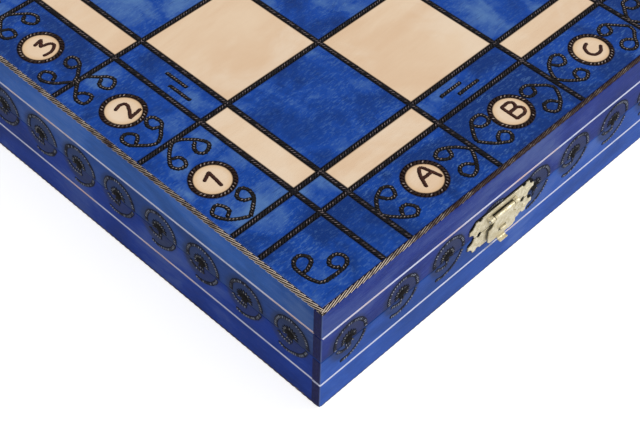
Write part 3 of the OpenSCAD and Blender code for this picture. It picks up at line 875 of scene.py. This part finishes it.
edges = {
    "front": {"start": fieldLeft, "way": (1, 0), "inward": (0, 1), "cells": files, "first": 1, "lean": -1},
    "left": {"start": fieldLeft, "way": (0, 1), "inward": (1, 0), "cells": ranks, "first": 1, "lean": 1},
    "right": {"start": -fieldLeft, "way": (0, 1), "inward": (-1, 0), "cells": ranks, "first": 0, "lean": -1},
}


def placedRun(points, origin, turn, mirror=1):
    # Points given along and across an axis, set at an origin and turned to it
    c, s = math.cos(turn), math.sin(turn)
    return [Vector((origin[0] + c * u - s * v * mirror, origin[1] + s * u + c * v * mirror))
            for u, v in points]


def scrollRuns(line, turn, place, index, mirror=1):
    # The two arms of one scroll. Line is where the disc's line meets the grid line.
    apex = scroll["apexes"][place][index % 3]
    origin = placedRun([apex], line, turn, mirror)[0]
    turn += math.radians(jitter(scroll["turn"]))
    runs = []
    for arm in scroll["arms"]:
        drawn = [(u + jitter(scroll["vary"]), v + jitter(scroll["vary"])) for u, v in arm[1:]]
        runs.append(bend(placedRun(arm[:1] + drawn, origin, turn, mirror)))
    return runs


def dashRuns(edge):
    # Two dashes beside every light square along one edge of the field
    spec = edges[edge]
    way, inward = Vector(spec["way"]), Vector(spec["inward"])
    start = Vector((spec["start"], fieldFront))
    runs = []
    for cell in range(spec["first"], spec["cells"], 2):
        middle = start + way * (cell + 0.5) * square - inward * band / 2
        for sign in (-1, 1):
            at = middle + way * (sign * dash["shift"] / 2 - dash["offset"])
            at += inward * sign * spec["lean"] * dash["gap"] / 2
            runs.append([at - way * dash["length"] / 2, at + way * dash["length"] / 2])
    return runs


def boardRuns():
    # Each family of a half's burnt lines: (kind of strand, its runs)
    across, near, far = halfWidth - panelEdge, front + panelEdge, back - panelEdge
    rows = [fieldFront - band] + [fieldFront + k * square for k in range(ranks)]
    columns = [fieldLeft - band, -fieldLeft + band] + [fieldLeft + k * square for k in range(files + 1)]
    scrolls = []
    for k in range(files):
        start = fieldLeft + k * square
        scrolls += scrollRuns((start, letterLine), 0, "frontStart", k)
        scrolls += scrollRuns((start + square, letterLine), math.pi, "frontEnd", k)
    for side in (-1, 1):
        for k in range(ranks):
            start = fieldFront + k * square
            line = side * numberLine
            scrolls += scrollRuns((line, start), math.pi / 2, "sideStart", k, -side)
            end = ("sideEnd", k) if k < ranks - 1 else ("atFold", 0)
            scrolls += scrollRuns((line, start + square), -math.pi / 2, *end, -side)
        corner = [(side * (halfWidth - u), front + v) for u, v in cornerScroll]
        scrolls.append(bend(corner))
    return {
        "RowLines": ("row", [[Vector((-across, y)), Vector((across, y))] for y in rows]),
        "ColumnLines": ("column", [[Vector((x, near)), Vector((x, far))] for x in columns]),
        "Rings": ("ring", [circleRun(at, ringMiddle) for at in discs]),
        "Scrolls": ("scroll", scrolls),
        "Dashes": ("scroll", [run for edge in edges for run in dashRuns(edge)]),
    }


def letterRuns(half):
    runs = []
    shift = lettering["shift"]
    for (x, y), letter in zip(discs, lettering[half]):
        for stroke in glyphs[letter]:
            runs.append(bend([(x + shift[0] + u, y + shift[1] + v) for u, v in stroke]))
    return runs


def burnBoard(half):
    plane = halves[half] @ facePlane((1, 0, 0), (0, 1, 0), (0, 0, top - panelSink))
    body = half + "_half"
    drawn = boardRuns()
    for family, (kind, runs) in drawn.items():
        finish = kind if kind in materials else "line"
        beadPiece(half + family, strewAll(runs, kind, plane), body, finish)
    beds = strewAll(drawn["Scrolls"][1] + drawn["Dashes"][1], "bed", plane)
    beadPiece(half + "ScrollBeds", beds, body, "bed", chip)
    beadPiece(half + "Letters", strewAll(letterRuns(half), "letter", plane), body, "letter", chip)


for half in halves:
    burnBoard(half)
print("burnt lines made")


# The roped arris. Its pale crests, partly wear and partly painted highlights, grow on the short sides and
# towards the corners, and the lower half's rope along the bottom has fewer of them as painted shade.
rope = {"radius": 1.0, "valley": 0.76, "strands": 7, "lead": 20.0, "step": 1.0, "inset": 0.02,
        "short": {"upper": 0.02, "lower": 1.2},
        "wornReach": 70.0, "tone": {"long": 0.22, "short": 0.5, "corner": 0.95},
        "wear": {"upper": 1.0, "lower": 0.3}}


def makeRope(length):
    # A straight rope along X, turned as it is drawn out
    steps = round(length / rope["step"])
    bm = bmesh.new()
    bmesh.ops.create_circle(bm, segments=rope["strands"] * 2, radius=rope["radius"])
    bm.verts.ensure_lookup_table()
    for vert in list(bm.verts)[::2]:
        vert.co *= rope["valley"]
    bmesh.ops.rotate(bm, verts=bm.verts, cent=(0, 0, 0), matrix=Matrix.Rotation(math.pi / 2, 3, "Y"))
    bmesh.ops.translate(bm, verts=bm.verts, vec=(-length / 2, 0, 0))
    bmesh.ops.spin(bm, geom=bm.verts[:] + bm.edges[:], cent=(0, 0, 0), axis=(1, 0, 0),
                   dvec=(length / steps, 0, 0), angle=-2 * math.pi * length / rope["lead"], steps=steps,
                   use_merge=False, use_duplicate=False)
    bmesh.ops.holes_fill(bm, edges=[e for e in bm.edges if e.is_boundary], sides=0)
    bmesh.ops.recalc_face_normals(bm, faces=bm.faces)
    return meshOf(bm, "rope")


def ropeRound(half):
    wide = 2 * halfWidth
    reach = rope["radius"] + rope["inset"]
    high = top - reach
    low, span = rope["valley"] * rope["radius"], (1 - rope["valley"]) * rope["radius"]
    sides = [(wide, 0, (0, front + reach), "long"),
             (wide, math.pi, (0, back - reach), "long"),
             (deep, -math.pi / 2, (-halfWidth + reach, middleY), "short"),
             (deep, math.pi / 2, (halfWidth - reach, middleY), "short")]
    bm = bmesh.new()
    crest, tone = strandLayers(bm)
    for length, turn, (x, y), kind in sides:
        straight = makeRope(length - 2 * rope["short"][half])
        first = len(bm.verts)
        bm.from_mesh(straight)
        bm.verts.ensure_lookup_table()
        where = halves[half] @ Matrix.Translation((x, y, high)) @ Matrix.Rotation(turn, 4, "Z")
        for vert in bm.verts[first:]:
            vert[crest] = (math.hypot(vert.co.y, vert.co.z) - low) / span
            # More pale crests towards the corners, partly painted highlights; the lower rope's share is cut
            # as painted shade
            near = max(0, 1 - (length / 2 - abs(vert.co.x)) / rope["wornReach"])
            worn = rope["tone"][kind] * (1 - near) + rope["tone"]["corner"] * near
            vert[tone] = worn * rope["wear"][half]
            vert.co = (where @ vert.co) * mm
    finishStrands(bm, half + "RopeEdge", half + "_half", "rope")


for half in halves:
    ropeRound(half)
print("rope edges made")


# Walls and their rosettes. A side wall's face lies this far inside the long walls' ends, and its burns
# rise to them.
wallInset = 0.25


def makeWallCopy(half, side):
    # The wall with its lip let down flush with the panel, so that the rope stands round both
    node = "%s_%s_wall" % (half, side)
    short = side in ("left", "right")
    bm = nodeCopy(node)
    across = (halfWidth - (wallInset if short else 0)) * mm
    low, high = panelSink * mm, (top - panelSink) * mm
    for vert in bm.verts:
        vert.co.x = max(-across, min(across, vert.co.x))
        vert.co.z = max(low, min(high, vert.co.z))
    bmesh.ops.dissolve_degenerate(bm, edges=bm.edges, dist=closeBy["edge"])
    made = finishPiece(bm, half + side.capitalize() + "Wall", half + "_half",
                       ["sideWall" if short else "longWall"])
    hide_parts(node)


for half in halves:
    for side in ("left", "right", "front", "back"):
        makeWallCopy(half, side)


def rosettePlaces(kind):
    # How far each rosette of a wall is from the wall's first corner
    row = rosetteRow[kind]
    places = [row["first"] + k * row["pitch"] for k in range(row["count"])]
    if kind == "side":
        return places
    near = [row["corner"]] + places
    return near + [2 * halfWidth - place for place in near[:-1]]


def rosetteRuns(x, y):
    turn = math.radians(jitter(rosette["turn"]))
    grow = chance.uniform(*rosette["grow"])
    spiral = []
    for angle, radius in rosette["path"]:
        a = math.radians(angle) + turn
        spiral.append((x + grow * radius * math.cos(a), y + grow * radius * math.sin(a)))
    return bend(spiral), circleRun((x, y), rosette["tickRadius"])


def coreBead(x, y, plane):
    size = rosette["coreRadius"]
    shape = Matrix.Diagonal((size, size, rosette["coreHeight"], 1))
    return plane @ Matrix.Translation((x, y, 0)) @ shape, 0.0


# How far the beads stay from the seam, and the rosettes from the clasps' plates
clear = {"seam": 0.6, "bedSeam": 1.2, "plate": 0.9}


def clearOf(beads, sign, gap, plates):
    # The beads on one side of the seam, and not under a clasp
    kept = []
    for where, value in beads:
        at = where.translation
        covered = any(low.x < at.x < high.x and low.z < at.z < high.z for low, high in plates)
        if sign * (at.z - seam) > gap and not covered:
            kept.append((where, value))
    return kept


def burnWalls():
    across = halfWidth - wallInset
    faces = {
        "Front": (facePlane((1, 0, 0), (0, 0, 1), (0, front, 0)), halfWidth, "long"),
        "Left": (facePlane((0, -1, 0), (0, 0, 1), (-across, middleY, 0)), deep / 2, "side"),
        "Right": (facePlane((0, 1, 0), (0, 0, 1), (across, middleY, 0)), deep / 2, "side"),
    }
    gap = Vector((clear["plate"], 0, clear["plate"]))
    boxes = [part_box(name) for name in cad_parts
             if name.startswith("clasp_") and name.endswith(("plate", "catch"))]
    plates = [(low / mm - gap, high / mm + gap) for low, high in boxes]
    for name, (plane, reach, row) in faces.items():
        # The side rows are counted from the front corner, which lies right on the left face
        way = -1 if name == "Left" else 1
        placed = {"rosette": [], "heart": [], "rosetteBed": [], "core": []}
        for place in rosettePlaces(row):
            x = way * (place - reach) + jitter(rosette["stray"])
            y = rosette["height"] + jitter(rosette["stray"])
            spiral, heart = rosetteRuns(x, y)
            for kind, run in (("rosette", spiral), ("heart", heart), ("rosetteBed", spiral)):
                placed[kind] += strew(run, kind, plane)
            placed["core"].append(coreBead(x, y, plane))
        for half, sign in (("upper", 1), ("lower", -1)):
            for kind, beads in placed.items():
                isBed = kind == "rosetteBed"
                kept = clearOf(beads, sign, clear["bedSeam" if isBed else "seam"],
                               plates if name == "Front" else [])
                if kept:
                    piece = half + kind[0].upper() + kind[1:] + "s" + name
                    beadPiece(piece, kept, half + "_half", "bed" if kind == "core" else kind,
                              chip if isBed else bead)


burnWalls()
print("walls and rosettes made")


# A near-black sheet behind each clasp plate, a little wider and raised, is painted shadow: it shows round the
# plate and in its notches
claspSeat = {"up": 1.2, "out": 0.1, "sunk": 0.06, "proud": 0.05}


def makeSeat(side, part, half):
    node = "clasp_%s_%s" % (side, part)
    low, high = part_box(node)
    middle = (low.x + high.x) / 2
    limit = (seam - case["seamGap"] / 2) * mm if half == "lower" else top * mm
    bm = nodeCopy(node)
    bmesh.ops.delete(bm, geom=bm.edges[:], context="EDGES_FACES")
    rear = max(vert.co.y for vert in bm.verts) - closeBy["flat"]
    bmesh.ops.delete(bm, geom=[vert for vert in bm.verts if vert.co.y < rear], context="VERTS")
    for vert in bm.verts:
        vert.co.x += math.copysign(claspSeat["out"] * mm, vert.co.x - middle)
        vert.co.y = (front + claspSeat["sunk"]) * mm
        vert.co.z = min(vert.co.z + claspSeat["up"] * mm, limit)
    far = bmesh.ops.duplicate(bm, geom=bm.verts[:])["geom"]
    bmesh.ops.translate(bm, verts=far, vec=(0, -(claspSeat["sunk"] + claspSeat["proud"]) * mm, 0))
    hull = bmesh.ops.convex_hull(bm, input=bm.verts[:])
    spare = {item for item in hull["geom_interior"] if isinstance(item, bmesh.types.BMVert)}
    bmesh.ops.delete(bm, geom=list(spare), context="VERTS")
    bmesh.ops.recalc_face_normals(bm, faces=bm.faces)
    finishPiece(bm, "clasp%s%sSeat" % (side.capitalize(), part.capitalize()), half + "_half", ["bed"])


for side in ("left", "right"):
    makeSeat(side, "plate", "upper")
    makeSeat(side, "catch", "lower")
print("clasp seats made")


# Metal parts. An edge break is in mm.
metalOf = {"clasp": ("plate", "hasp", "catch", "plate_nails", "catch_nails"),
           "hinge": ("lower_leaf", "upper_leaf", "lower_nails", "upper_nails"),
           "steel": ("pin",)}
edgeBreak = {"clasp": 0.14, "hinge": 0.10, "steel": 0.0, "segments": 2, "angle": 40}
for name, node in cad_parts.items():
    if not name.startswith(("clasp_", "hinge_")):
        continue
    last = name.split("_", 2)[2]
    kind = next(one for one, parts in metalOf.items() if last in parts)
    node.data.materials.clear()
    node.data.materials.append(materials[kind])
    if edgeBreak[kind] and "nails" not in last:
        weld = node.modifiers.new("weld", "WELD")
        weld.merge_threshold = closeBy["merge"]
        soften = node.modifiers.new("edges", "BEVEL")
        soften.width = edgeBreak[kind] * mm
        soften.segments = edgeBreak["segments"]
        soften.limit_method = "ANGLE"
        soften.angle_limit = math.radians(edgeBreak["angle"])
print("metal finished")


# Floor, light and camera
studio = {"floorSize": 8.0, "floor": (0.8, 0.8, 0.8, 1), "floorGlow": 0.7, "skyLight": 0.55,
          "keyStrength": 1.85, "keyAngle": 8.0, "keyFrom": (0.62, -0.52, 0.58)}
view = {"left": 222.02, "nearer": 205.0, "height": 448.68, "heading": 43.06, "down": 48.84, "roll": 1.74,
        "lens": 84.36, "sensor": 36.0, "nearest": 0.01}


def clearTree(holder):
    holder.use_nodes = True
    holder.node_tree.nodes.clear()
    inHand["tree"] = holder.node_tree


def seenRays():
    # Camera, mirror and glass rays see white, while the light on the object comes from the lamps
    ray = add("ShaderNodeLightPath").outputs
    return most(ray["Is Camera Ray"], most(ray["Is Glossy Ray"], ray["Is Transmission Ray"]))


def makeFloor():
    bm = bmesh.new()
    bmesh.ops.create_grid(bm, x_segments=1, y_segments=1, size=studio["floorSize"] / 2)
    floor = show("floor", meshOf(bm, "floor"))
    material = bpy.data.materials.new("paleFloor")
    clearTree(material)
    glow = times(seenRays(), studio["floorGlow"])
    shine = add("ShaderNodeEmission", {"Color": white, "Strength": glow})
    matt = add("ShaderNodeBsdfDiffuse", {"Color": studio["floor"]})
    both = add("ShaderNodeAddShader", {0: shine.outputs[0], 1: matt.outputs[0]})
    add("ShaderNodeOutputMaterial", {"Surface": both.outputs[0]})
    floor.data.materials.append(material)


def makeLight():
    world = bpy.data.worlds.new("studio")
    bpy.context.scene.world = world
    clearTree(world)
    level = spread(seenRays(), 0.0, 1.0, studio["skyLight"], 1.0, "LINEAR")
    sky = add("ShaderNodeBackground", {"Color": white, "Strength": level})
    add("ShaderNodeOutputWorld", {"Surface": sky.outputs[0]})
    key = bpy.data.lights.new("key", "SUN")
    key.energy = studio["keyStrength"]
    key.angle = math.radians(studio["keyAngle"])
    show("key", key).rotation_euler = Vector(studio["keyFrom"]).to_track_quat("Z", "Y").to_euler()


def makeCamera():
    lens = bpy.data.cameras.new("camera")
    lens.sensor_width = view["sensor"]
    lens.lens = view["lens"]
    lens.clip_start = view["nearest"]
    camera = show("camera", lens)
    aim = (Matrix.Rotation(math.radians(view["heading"] - 90), 4, "Z")
           @ Matrix.Rotation(math.radians(90 - view["down"]), 4, "X")
           @ Matrix.Rotation(math.radians(view["roll"]), 4, "Z"))
    at = Vector((-halfWidth - view["left"], front - view["nearer"], view["height"]))
    camera.matrix_world = Matrix.Translation(at * mm) @ aim
    bpy.context.scene.camera = camera


makeFloor()
makeLight()
makeCamera()
bpy.context.scene.view_settings.view_transform = "Standard"
print("studio made")
